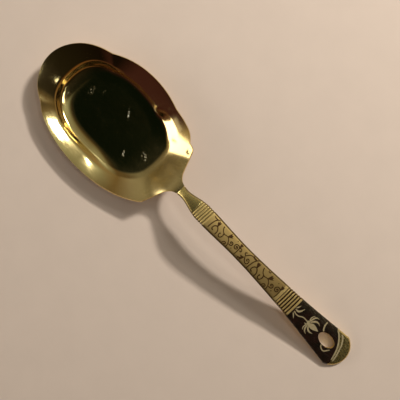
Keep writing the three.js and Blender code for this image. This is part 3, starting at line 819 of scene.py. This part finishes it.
def vine_repeat():
    """One repeat of the vine: hooked stems, buds, curls and dots."""
    fine = VINE_LINE
    return [
        stroke([(-9.65, 3.3), (-9.7, 1.6), (-9.9, 0), (-10.3, -1.9), (-11.4, -3.6), (-12.6, -4.1)],
               fine, fine, 0.2),
        stroke([(-8.3, -3.9), (-9.1, -3.4), (-10.2, -3.3), (-11, -3.3)], 0.2, fine, fine),
        stroke([(-12.9, 2.5), (-11.9, 2.3), (-11.6, 1.4), (-11.9, 0.3), (-12.7, -0.5), (-13.6, -0.5),
                (-14.6, 0.4), (-15.2, 1.6), (-15.2, 3.5)], 0.7, fine, fine),
        dot(-12.5, 2.5, 0.42),
        bud((-13.4, -0.6), (-12.8, -3.6), 2.0),
        stroke([(-16.2, -3.5), (-16.5, -2.4), (-17.5, -1.1), (-19, -0.4), (-20.4, -0.7), (-21.6, -0.7),
                (-22.8, 0.1), (-23.7, 1.4), (-24.2, 2.9), (-24.2, 3.8)], fine, 0.5, fine),
        stroke([(-18.5, -0.5), (-18.9, 0.6), (-18.8, 1.8), (-18.1, 2.7), (-17.2, 2.6), (-16.7, 1.7),
                (-16.9, 0.9)], fine, fine, 0.5),
        dot(-16.9, 0.9, 0.42),
        bud((-21.3, -0.8), (-23.3, -3.2), 2.2),
        stroke([(-24.2, 1.55), (-25.6, 1.55), (-26.2, 0.75), (-25.8, -0.3), (-24.8, -0.4), (-24.5, 0.3),
                (-25.0, 0.7)], fine, fine, 0.45),
        dot(-25.15, 0.5, 0.38),
        stroke([(-21.1, 3.8), (-21.3, 2.9), (-22.1, 2.2), (-22.9, 2.6), (-22.9, 3.4)], fine, 0.55, 0.4),
        dot(-22.4, 3.3, 0.45),
        dot(-26.9, 2.3, 0.33),
        dot(-27.1, -3.1, 0.3),
        stroke(np.vstack([[(-30.3, 3.6), (-30.5, 1.6)], spiral(-28.7, -0.15, 1.75, 0.35, -160, 1.45)]),
               0.5, fine, 0.4),
        dot(-28.6, -0.2, 0.45),
        bud((-30.2, -1.1), (-30.4, -3.9), 1.7),
    ]


VINE_START = (-9.7, 0)
VINE_SECOND_START = (-40.8, 0.4)
VINE_SECOND_SCALE = (1.11, 1.1)


def second_repeat(shapes):
    """The same shapes again further back, where the shaft is wider."""
    return [np.multiply(VINE_SECOND_SCALE, s - VINE_START) + VINE_SECOND_START for s in shapes]


def vine_link():
    """The leafy link between the two repeats."""
    fine = VINE_LINE
    return [
        leaf([(-30.8, 3.6), (-32.6, 3.3), (-34.4, 2.0)], 1.1),
        leaf([(-34.3, 3.6), (-34.6, 2.2), (-35.8, 0.3)], 1.2),
        leaf([(-33.2, 1.1), (-34.4, 1.3), (-35.8, 0.4)], 0.8),
        stroke([(-36.0, 0.2), (-36.65, 1.45), (-38.0, 2.45), (-39.15, 2.3), (-39.5, 1.0), (-38.8, -0.15),
                (-37.85, -0.2), (-37.6, 0.65), (-38.15, 1.05)], fine, fine, 0.45),
        dot(-38.3, 0.85, 0.4),
        stroke([(-35.5, 0.1), (-36.1, -1.1), (-37.3, -2.5), (-38.9, -3.2), (-40.6, -2.9), (-41.8, -3.0),
                (-43.2, -4.1)], 0.5, fine, 0.25),
        stroke([(-35.9, -0.8), (-34.9, -0.9), (-34.5, -1.7), (-35.1, -2.2)], fine, fine, 0.4),
        dot(-35.1, -2.1, 0.4),
        stroke([(-30.4, -0.9), (-31.2, -1.5), (-32.1, -1.0), (-32.2, 0), (-31.5, 0.2)], fine, fine, 0.4),
        dot(-31.5, -0.2, 0.36),
        stroke([(-51.0, -4.2), (-51.5, -3.7), (-52.4, -3.8), (-52.7, -4.4)], fine, fine, 0.3),
    ]


def flower():
    """A blossom with drooping petals on a curved stem, and a fan of leaves at the band."""
    calyx = [(-87.5, 0.4), (-87.8, -0.5), (-88.9, -0.7), (-90.1, 0.5), (-89.9, 1.5), (-88.8, 1.6)]
    stem = [
        (-78.0, 1.4), (-79.95, 1.95), (-81.85, 1.7), (-83.1, 0.95), (-84.55, 0.3), (-86.15, 0.2),
        (-87.8, 0.3),
    ]
    leaves = (
        ([(-77.4, -0.4), (-78.2, -1.9), (-78.7, -3.5)], 0.6),
        ([(-77.5, 0.1), (-79.6, 0.0), (-80.8, -1.2), (-81.7, -3.7)], 1.0),
        ([(-77.9, 2.3), (-79.2, 3.3), (-80.7, 4.75)], 0.6),
        ([(-89.3, 0.6), (-92.7, 0.25), (-96.75, -0.1)], 3.0),
        ([(-88.5, -0.5), (-88.1, -3.15), (-89.05, -5.15)], 0.55),
        ([(-88.8, -0.5), (-89.55, -3.8), (-90.75, -5.1), (-92.15, -5.3)], 0.9),
        ([(-89.3, -0.4), (-91.25, -2.8), (-93.1, -3.5), (-95.1, -2.9)], 1.0),
        ([(-88.7, 1.2), (-88.4, 3.45), (-88.7, 4.8), (-89.35, 5.6)], 0.6),
        ([(-89.2, 1.2), (-89.7, 3.8), (-90.8, 5.2), (-92.5, 5.85)], 0.85),
        ([(-89.6, 1.0), (-91.35, 3.05), (-93.25, 3.65), (-95.3, 3.05)], 0.95),
        ([(-88.9, 1.3), (-88.0, 1.9), (-87.0, 2.0)], 0.5),
    )
    return [np.array(calyx), stroke(stem, 0.7, 0.58, 0.58), *(leaf(line, width) for line, width in leaves)]


def end_lines():
    """Light lines on the end: the field's double border, a curl at the hole and a line to the edge."""
    return [
        stroke(field_curve()[1:-1:6] - (ORNAMENT_SHIFT, 0), 0.95, 0.9, 0.6),
        stroke([(-108.4, -8.7), (-110.3, -7.4), (-112.0, -5.1), (-113.1, -2.9), (-114.2, 0.1), (-115.1, 2.9),
                (-115.7, 6.0)], 0.95, 0.85, 0.6),
        stroke([(-99.0, -2.4), (-98.0, -3.4), (-97.15, -5.0), (-96.9, -6.6), (-96.85, -7.6)], 0.7, 0.85, 0.9),
        stroke([(-103.6, 3.8), (-104.6, 4.95), (-106.35, 5.6), (-107.7, 5.25), (-108.6, 4.0), (-109.6, 2.6)],
               0.6, 0.7, 0.5),
    ]


# Finishes

def dial(made, **settings):
    """Sets or links a node's sockets and properties; in a socket's name _ stands for a space."""
    for key, value in settings.items():
        name = key.replace("_", " ")
        if name not in made.inputs:
            setattr(made, key, value)
        elif isinstance(value, bpy.types.NodeSocket):
            made.id_data.links.new(value, made.inputs[name])
        else:
            made.inputs[name].default_value = value
    return made


def node(tree, kind, **settings):
    return dial(tree.nodes.new(kind), **settings)


def new_material(name):
    material = bpy.data.materials.new(name)
    material.use_nodes = True
    tree = material.node_tree
    return material, tree, tree.nodes["Principled BSDF"]


def place(tree, kind="Object"):
    return node(tree, "ShaderNodeTexCoord").outputs[kind]


def noise(tree, scale=1, stretch=(1, 1, 1), detail=3, roughness=0.55):
    """Noise in the object's own metres, stretched along an axis by a small factor there."""
    at = node(tree, "ShaderNodeMapping", Vector=place(tree), Scale=stretch).outputs["Vector"]
    made = node(tree, "ShaderNodeTexNoise", Vector=at, Scale=scale, Detail=detail, Roughness=roughness)
    return made.outputs["Fac"]


def ramp(tree, source, span, values):
    """Runs from one value to another while the source runs over a span."""
    ends = dict(zip(("From_Min", "From_Max", "To_Min", "To_Max"), (*span, *values)))
    return node(tree, "ShaderNodeMapRange", Value=source, **ends).outputs["Result"]


def mix_colour(tree, share, first, second):
    made = node(tree, "ShaderNodeMix", data_type="RGBA", Factor=share)
    for socket, colour in ((made.inputs[6], first), (made.inputs[7], second)):
        if isinstance(colour, tuple):
            socket.default_value = (*colour, 1)
        else:
            tree.links.new(colour, socket)
    return made.outputs[2]


def combine(tree, operation, *sources):
    """Adds or multiplies values, one after the other."""
    total = sources[0]
    for source in sources[1:]:
        made = node(tree, "ShaderNodeMath", operation=operation)
        tree.links.new(total, made.inputs[0])
        tree.links.new(source, made.inputs[1])
        total = made.outputs[0]
    return total


def attribute(tree, name):
    return node(tree, "ShaderNodeAttribute", attribute_name=name).outputs["Fac"]


def bump(tree, height, depth_mm):
    made = node(tree, "ShaderNodeBump", Strength=1.0, Distance=depth_mm * MM, Height=height)
    return made.outputs["Normal"]


GOLD = (0.80, 0.63, 0.29)
GOLD_COINED = (0.52, 0.37, 0.14)
GOLD_SHADED = (0.43, 0.30, 0.11)
GOLD_BRIGHT = (0.95, 0.75, 0.29)
# Lighter gold on the crests, partly wear and partly painted highlight, and a painted highlight along the
# neck's arris
GOLD_WORN_AND_LIT = (0.98, 0.74, 0.31)
GOLD_DULL = (0.60, 0.43, 0.17)
BROWN = (0.050, 0.022, 0.006)
BROWN_PALE = (0.075, 0.036, 0.010)
SCUFFED = (0.95, 0.95, 0.85)
LINE_GOLD = (0.72, 0.60, 0.36)
LINE_DULL = (0.56, 0.44, 0.22)
ENAMEL_BLACK = (0.006, 0.005, 0.003)
ENAMEL_BROWN = (0.020, 0.008, 0.005)
# Painted sheen: lighter olive streaks on the enamel along its right edge
ENAMEL_SHEEN = (0.085, 0.075, 0.040)
BRAZE_BRIGHT = (0.70, 0.55, 0.28)
BRAZE_DULL = (0.45, 0.33, 0.14)

# Stretch of a noise along x, y and z, into lines along the spoon
BOWL_BRUSHING = (200, 1500, 1500)
BAR_BRUSHING = (120, 1600, 1600)
FINE_SCRATCHES = (60, 2600, 2600)
ENAMEL_STREAKS = (60, 1500, 1500)

# The bowl's ramp is satin: added roughness by the place along the spoon
SATIN_SPAN = (28 * MM, 50 * MM)
SATIN_ROUGH = (0.16, 0)

# Spans of a mark and of a noise
WHOLE = (0, 1)
MIDDLE = (0.3, 0.7)

# Scuffs on the bowl's floor: place, turn, half length and half width, and strength
SCUFFS = (
    (67.5, -8.9, 128, 4.6, 0.6, 1.0),
    (53.0, 9.5, 125, 2.8, 0.9, 0.7),
    (43.5, 2.0, 150, 3.4, 1.8, 0.7),
    (92.0, -3.0, 100, 3.6, 2.0, 0.3),
    (86.0, -7.2, 110, 2.0, 0.7, 0.4),
    (100.5, 8.0, 35, 3.4, 0.9, 0.25),
)


def scuff_marks(tree):
    """Clusters of coarse specks."""
    specks = ramp(tree, noise(tree, scale=1300, detail=2, roughness=0.6), span=(0.55, 0.62), values=WHOLE)
    marks = []
    for x, y, turn, long, wide, strength in SCUFFS:
        local = node(tree, "ShaderNodeMapping", vector_type="TEXTURE", Vector=place(tree),
                     Location=(x * MM, y * MM, 0), Rotation=(0, 0, math.radians(turn)),
                     Scale=(long * MM, wide * MM, 1))
        far = node(tree, "ShaderNodeVectorMath", operation="LENGTH", Vector=local.outputs["Vector"])
        marks.append(ramp(tree, far.outputs["Value"], span=(0.4, 1.0), values=(strength, 0)))
    return combine(tree, "MULTIPLY", combine(tree, "ADD", *marks), specks)


def bowl_gold():
    material, tree, shader = new_material("polished_gold_sheet")
    patches = ramp(tree, noise(tree, scale=45, detail=4), span=(0.35, 0.7), values=(0, 0.5))
    brushed = noise(tree, stretch=BOWL_BRUSHING, detail=4, roughness=0.7)
    scratches = ramp(tree, noise(tree, stretch=FINE_SCRATCHES, detail=2), span=(0.68, 0.78), values=WHOLE)
    scuffs = scuff_marks(tree)
    along = node(tree, "ShaderNodeSeparateXYZ", Vector=place(tree)).outputs["X"]
    rough = combine(
        tree, "ADD",
        ramp(tree, brushed, MIDDLE, values=(0.07, 0.12)),
        ramp(tree, scratches, WHOLE, values=(0, 0.12)),
        ramp(tree, scuffs, WHOLE, values=(0, 0.6)),
        ramp(tree, along, SATIN_SPAN, SATIN_ROUGH),
    )
    dial(
        shader,
        Base_Color=mix_colour(tree, scuffs, mix_colour(tree, patches, GOLD, GOLD_DULL), SCUFFED),
        Metallic=ramp(tree, scuffs, WHOLE, values=(1, 0.4)),
        Roughness=rough,
        Normal=bump(tree, brushed, depth_mm=0.0006),
    )
    return material


def handle_gold():
    material, tree, shader = new_material("coined_gold_bar")
    patches = ramp(tree, noise(tree, scale=90, detail=5), MIDDLE, values=(0, 0.55))
    brushed = noise(tree, stretch=BAR_BRUSHING, detail=4, roughness=0.7)
    polish, patina_and_painted_shade = attribute(tree, "polish"), attribute(tree, "patina_and_painted_shade")
    colour = mix_colour(tree, patches, GOLD_COINED, GOLD_SHADED)
    colour = mix_colour(tree, polish, colour, GOLD_BRIGHT)
    # Lighter gold on the crests, partly wear and partly painted highlight, and a painted highlight along the
    # neck's arris
    colour = mix_colour(tree, attribute(tree, "worn_and_highlight"), colour, GOLD_WORN_AND_LIT)
    matt = ramp(tree, polish, WHOLE, values=(1, 0.08))
    rough = combine(
        tree, "ADD",
        combine(tree, "MULTIPLY", ramp(tree, brushed, MIDDLE, values=(0.48, 0.62)), matt),
        ramp(tree, polish, WHOLE, values=(0, 0.23)),
        ramp(tree, patina_and_painted_shade, WHOLE, values=(0, 0.25)),
    )
    dial(
        shader,
        # Brown over the marked grooves and edges: dark fill in the rear ridges' grooves, painted shade in the
        # bead grooves, along the bevelled edges and down the shaft's left side
        Base_Color=mix_colour(tree, patina_and_painted_shade, colour, BROWN),
        Metallic=ramp(tree, patina_and_painted_shade, WHOLE, values=(1, 0.85)),
        Roughness=rough,
        Normal=bump(tree, combine(tree, "MULTIPLY", brushed, matt), depth_mm=0.006),
    )
    return material


def line_finish(name, scale, colours, rough, **settings):
    material, tree, shader = new_material(name)
    patches = ramp(tree, noise(tree, scale=scale), span=(0.35, 0.75), values=WHOLE)
    colour = mix_colour(tree, patches, *colours)
    dial(shader, Base_Color=colour, Roughness=ramp(tree, patches, WHOLE, rough), **settings)
    return material


def dark_enamel():
    material, tree, shader = new_material("dark_enamel")
    patches = ramp(tree, noise(tree, scale=160, detail=4), MIDDLE, values=WHOLE)
    streaks = ramp(tree, noise(tree, stretch=ENAMEL_STREAKS), span=(0.5, 0.75), values=WHOLE)
    streaked = ramp(tree, streaks, WHOLE, values=(0.15, 1))
    # Painted sheen in streaks along the enamel's right edge, the side towards the key lamp
    painted_sheen = combine(tree, "MULTIPLY", attribute(tree, "painted_sheen"), streaked)
    colour = mix_colour(tree, patches, ENAMEL_BLACK, ENAMEL_BROWN)
    dial(
        shader,
        Base_Color=mix_colour(tree, painted_sheen, colour, ENAMEL_SHEEN),
        Roughness=ramp(tree, streaks, WHOLE, values=(0.22, 0.4)),
        Normal=bump(tree, streaks, depth_mm=0.003),
    )
    return material


def braze_filler():
    material, tree, shader = new_material("braze_filler")
    lumps = noise(tree, scale=900, detail=4)
    dial(
        shader,
        Base_Color=mix_colour(tree, lumps, BRAZE_BRIGHT, BRAZE_DULL),
        Metallic=1,
        Roughness=ramp(tree, lumps, MIDDLE, values=(0.35, 0.55)),
        Normal=bump(tree, lumps, depth_mm=0.05),
    )
    return material


# Wear, dark fill, painted shade, painted highlights and a painted sheen, by place on the handle and the
# enamel

GROOVE_START = 0.3
RIDGE_GROOVE_FULL = 0.9
# Painted shade in the bead grooves
BEAD_GROOVE_DARK = 0.75
# Painted shade: how dark the bevelled edges are painted, as if they mirrored a dark room, and how much less
# on the end
EDGE_DARK = 0.85
EDGE_SHADE_LESS_AT_END = 0.6
EDGE_DARK_SPAN = (0.9, 1.25)
# Painted shade down the shaft's left side, away from the key lamp
LEFT_SHADE = 0.6
LEFT_SHADE_REACH = 3
# Painted highlight along the inner arris of the neck's bevels
ARRIS_HIGHLIGHT = 0.5
ARRIS_PLACE = 1.3
ARRIS_SPREAD = 0.2
# Crests lightened, partly wear and partly painted highlight
RIDGE_CRESTS_LIGHTER = 0.9
BEAD_CRESTS_LIGHTER = 0.5
BEADS_MATT = 0.5
RIDGES_POLISH = 0.15
# Painted sheen on the enamel: its strength and its reach from the right edge
ENAMEL_SHEEN_STRENGTH = 0.9
ENAMEL_SHEEN_REACH = 5


def mark_handle_wear_and_painted_light(handle, run):
    """Marks dark fill in the rear grooves, painted shade in the bead grooves, on the bevels and down the left
    side, lighter crests that are partly worn and partly a painted highlight, a painted highlight along the
    neck's arris, and the polish of the neck and the end.
    """
    x, y, h = run.T
    depth = groove(x)
    edge = edge_distance(x, y)
    on_top = h > thick_run(x) / 2
    on_neck = smoothstep(x, SHAFT_X - BEAD_PITCH, SHAFT_X)
    on_beads = on_neck * (x < BEADS_X)
    on_ridges = (x < RIDGES_X + RIDGE_PITCH) & (x > PADDLE_X)
    on_end = smoothstep(-x, -PADDLE_X, -PADDLE_X + RIDGE_PITCH)
    # The rear ridges' grooves hold a real dark fill; the darkening in the bead grooves is painted shade
    ridge_grooves = smoothstep(depth / RIDGE_DEPTH, GROOVE_START, RIDGE_GROOVE_FULL)
    bead_grooves = BEAD_GROOVE_DARK * smoothstep(depth / BEAD_DEPTH, GROOVE_START, 1)
    grooves = np.where(on_ridges, ridge_grooves, bead_grooves)
    # Painted shade on the bevelled edges and down the left side of the shaft
    near_edge = 1 - smoothstep(edge, *(share * BEVEL_WIDTH for share in EDGE_DARK_SPAN))
    edges = (EDGE_DARK - EDGE_SHADE_LESS_AT_END * on_end) * near_edge
    near_side = 1 - smoothstep(edge, BEVEL_WIDTH, LEFT_SHADE_REACH * BEVEL_WIDTH)
    shade = LEFT_SHADE * (1 - on_neck) * (1 - on_end) * (y > 0) * near_side
    set_attribute(handle, "patina_and_painted_shade", np.maximum(np.maximum(grooves, edges), shade) * on_top)
    # Painted highlight: a bright line along the inner arris of the neck's bevels; the crests lighter, partly
    # wear and partly painted highlight
    arris = ARRIS_HIGHLIGHT * on_neck * np.exp(-((edge - ARRIS_PLACE * BEVEL_WIDTH) / ARRIS_SPREAD) ** 2)
    crests = np.maximum(RIDGE_CRESTS_LIGHTER * on_ridges, BEAD_CRESTS_LIGHTER * on_beads)
    set_attribute(handle, "worn_and_highlight", np.maximum(arris, crests) * on_top)
    polish = np.maximum(on_neck, on_end) - BEADS_MATT * on_beads
    set_attribute(handle, "polish", np.maximum(polish, RIDGES_POLISH * on_ridges))


def paint_enamel_sheen(enamel, run):
    """Paints a lighter sheen, a painted reflection, on the enamel along its right edge, the side towards the
    key lamp.
    """
    x, y, _ = run.T
    set_attribute(enamel, "painted_sheen", ENAMEL_SHEEN_STRENGTH * (1 - smoothstep(y + half_width(x), 0, ENAMEL_SHEEN_REACH)))


def dress(piece, material):
    piece.data.materials.clear()
    piece.data.materials.append(material)


# Build

bowl = make_bowl()
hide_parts("bowl")
gold_sheet = bowl_gold()
dress(bowl, gold_sheet)

tang = make_tang()
dress(tang, gold_sheet)

handle, handle_run = make_handle()
mark_handle_wear_and_painted_light(handle, handle_run)
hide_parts("handle")
dress(handle, handle_gold())

enamel, enamel_run = make_enamel()
paint_enamel_sheen(enamel, enamel_run)
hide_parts("end_enamel")
dress(enamel, dark_enamel())

repeat = vine_repeat()
vine = inlay("vine_scroll", repeat + second_repeat(repeat) + vine_link())
brown_line = line_finish(
    "brown_line", scale=800, colours=(BROWN, BROWN_PALE), rough=(0.4, 0.6),
    Metallic=0.3, Specular_IOR_Level=0.15,
)
dress(vine, brown_line)

gold_lines = line_finish(
    "light_gold_line", scale=900, colours=(LINE_GOLD, LINE_DULL), rough=(0.38, 0.5), Metallic=0.6,
)
blossom = inlay("end_blossom", flower())
dress(blossom, gold_lines)
borders = inlay("end_lines", end_lines())
dress(borders, gold_lines)

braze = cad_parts["neck_braze"]
dress(braze, braze_filler())

# Stage

FLOOR_SIZE = 12.0
FLOOR_COLOUR = (0.66, 0.54, 0.46)
FLOOR_GRAIN = 0.97


def make_floor():
    half = FLOOR_SIZE / 2
    mesh = bpy.data.meshes.new("floor")
    corners = [(-half, -half, 0), (half, -half, 0), (half, half, 0), (-half, half, 0)]
    mesh.from_pydata(corners, [], [(0, 1, 2, 3)])
    floor = show("floor", mesh)
    material, tree, shader = new_material("pale_floor")
    grain = ramp(tree, noise(tree, scale=60, detail=5), MIDDLE, values=WHOLE)
    darker = tuple(FLOOR_GRAIN * c for c in FLOOR_COLOUR)
    colour = mix_colour(tree, grain, FLOOR_COLOUR, darker)
    dial(shader, Base_Color=colour, Roughness=0.9, Specular_IOR_Level=0.2)
    mesh.materials.append(material)


# Name, azimuth and elevation in degrees, size in metres and power in watts
LAMPS = (
    ("key_lamp", -88, 39, (0.14, 0.06), 6.4),
    ("second_lamp", -89, 47, (0.16, 0.12), 1.1),
    ("shoulder_lamp", 38, 14, (0.80, 0.36), 3.7),
    ("ceiling_lamp", -118, 74, (0.22, 0.12), 0.58),
    ("ear_lamp", 54, 30, (0.18, 0.18), 0.05),
    ("glint_lamp", -160, 56, (0.07, 0.07), 0.05),
)
LAMP_DISTANCE = 0.9
LAMP_COLOUR = (1.0, 0.97, 0.9)


def make_lamp(name, azimuth, elevation, size, power):
    """A soft rectangular lamp, aimed at the middle of the spoon."""
    light = bpy.data.lights.new(name, "AREA")
    light.shape = "RECTANGLE"
    light.size, light.size_y = size
    light.energy = power
    light.color = LAMP_COLOUR
    lamp = show(name, light)
    a, e = math.radians(azimuth), math.radians(elevation)
    towards = Vector((math.cos(a) * math.cos(e), math.sin(a) * math.cos(e), math.sin(e)))
    lamp.location = towards * LAMP_DISTANCE
    lamp.rotation_euler = lamp.location.to_track_quat("Z", "Y").to_euler()


# The room that the metal mirrors. Walls and skirt are plain colours by the share of a turn round the room.
# The blends are where the skirt turns into the walls, and the walls into the dark overhead.
ROOM_OVERHEAD = (0.003, 0.006, 0.003)
ROOM_DARKEST = (0.25, 0.20, 0.947)
SKIRT_BLEND = (0.2, 0.4)
DARKEST_BLEND = (0.86, 0.965)
ROOM_WALLS = (
    (0.00, (0.015, 0.012, 0.006)),
    (0.14, (0.025, 0.020, 0.012)),
    (0.18, (0.13, 0.09, 0.04)),
    (0.23, (0.44, 0.48, 0.38)),
    (0.34, (0.12, 0.08, 0.035)),
    (0.39, (0.11, 0.08, 0.045)),
    (0.44, (0.22, 0.21, 0.16)),
    (0.52, (0.15, 0.13, 0.09)),
    (0.61, (0.34, 0.25, 0.12)),
    (0.66, (0.055, 0.020, 0.020)),
    (0.75, (0.050, 0.018, 0.017)),
    (0.80, (0.008, 0.005, 0.003)),
    (1.00, (0.015, 0.012, 0.006)),
)
ROOM_SKIRT = (
    (0.00, (0.20, 0.09, 0.03)),
    (0.25, (0.28, 0.21, 0.12)),
    (0.34, (0.24, 0.17, 0.08)),
    (0.39, (0.48, 0.45, 0.38)),
    (0.44, (0.34, 0.31, 0.24)),
    (0.50, (0.10, 0.088, 0.055)),
    (0.65, (0.10, 0.045, 0.03)),
    (0.82, (0.10, 0.045, 0.025)),
    (1.00, (0.20, 0.09, 0.03)),
)


def colour_ring(tree, source, stops):
    """Colours round the room, by the share of a whole turn."""
    made = node(tree, "ShaderNodeValToRGB", Fac=source)
    elements = made.color_ramp.elements
    elements[0].position, elements[1].position = stops[0][0], stops[-1][0]
    elements[0].color, elements[1].color = (*stops[0][1], 1), (*stops[-1][1], 1)
    for share, colour in stops[1:-1]:
        elements.new(share).color = (*colour, 1)
    return made.outputs["Color"]


def make_world():
    """A dim room: near black overhead, light and brown walls, dark towards the handle's end."""
    world = bpy.data.worlds.new("room")
    bpy.context.scene.world = world
    world.use_nodes = True
    tree = world.node_tree
    towards = place(tree, "Generated")
    turn = node(tree, "ShaderNodeTexGradient", gradient_type="RADIAL", Vector=towards).outputs["Fac"]
    high = node(tree, "ShaderNodeSeparateXYZ", Vector=towards).outputs["Z"]
    walls, skirt = colour_ring(tree, turn, ROOM_WALLS), colour_ring(tree, turn, ROOM_SKIRT)
    sides = mix_colour(tree, ramp(tree, high, SKIRT_BLEND, WHOLE), skirt, walls)
    darkest = node(tree, "ShaderNodeVectorMath", operation="DOT_PRODUCT", Vector=towards)
    darkest.inputs[1].default_value = ROOM_DARKEST
    near = ramp(tree, darkest.outputs["Value"], DARKEST_BLEND, WHOLE)
    dial(tree.nodes["Background"], Color=mix_colour(tree, near, sides, ROOM_OVERHEAD))


# Straight above, turned so that the spoon lies from corner to corner
CAMERA_PLACE = (0.0032, -0.0038, 0.4)
CAMERA_TURN = math.atan2(-0.719, -0.695)
LENS = 62.3
SENSOR_WIDTH = 36
CLIP_END = 50


def make_camera():
    camera = bpy.data.cameras.new("camera")
    camera.lens = LENS
    camera.sensor_width = SENSOR_WIDTH
    camera.clip_end = CLIP_END
    holder = show("camera", camera)
    holder.location = CAMERA_PLACE
    holder.rotation_euler = (0, 0, CAMERA_TURN)
    bpy.context.scene.camera = holder


make_floor()
for lamp in LAMPS:
    make_lamp(*lamp)
make_world()
make_camera()
bpy.context.scene.view_settings.view_transform = "Standard"
